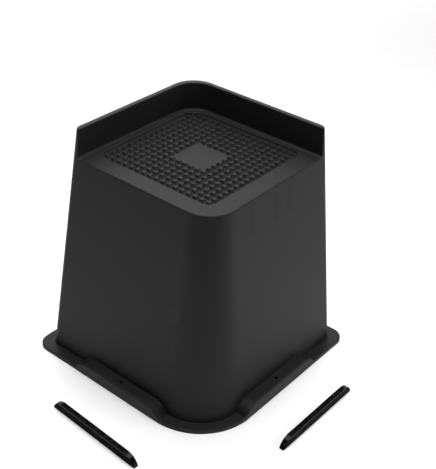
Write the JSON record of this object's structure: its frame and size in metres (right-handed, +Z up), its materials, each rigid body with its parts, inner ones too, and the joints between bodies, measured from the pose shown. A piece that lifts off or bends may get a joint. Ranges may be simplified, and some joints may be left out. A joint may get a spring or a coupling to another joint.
{
  "type": "bed riser",
  "caption": "Tapered hollow bed riser with a knobbed deck, an L-shaped guard wall and push-in floor strips under its base flange.",
  "frame": {"origin": "centre of the leg seat, the plain square in the middle of the deck, 151.3 mm above the floor", "axes": "+Z up out of the leg seat, +Y towards the back guard wall, +X to the right; the guard wall stands on the left and back sides"},
  "size_m": [0.1929, 0.1973, 0.1718],
  "materials": {
    "body_plastic": "satin",
    "strip_rubber": "matte"
  },
  "bodies": {
    "root": {"riser_body": "body_plastic", "floor_strip_back": "strip_rubber", "floor_strip_left": "strip_rubber", "floor_strip_front": "strip_rubber", "floor_strip_right": "strip_rubber"}
  },
  "joints": []
}
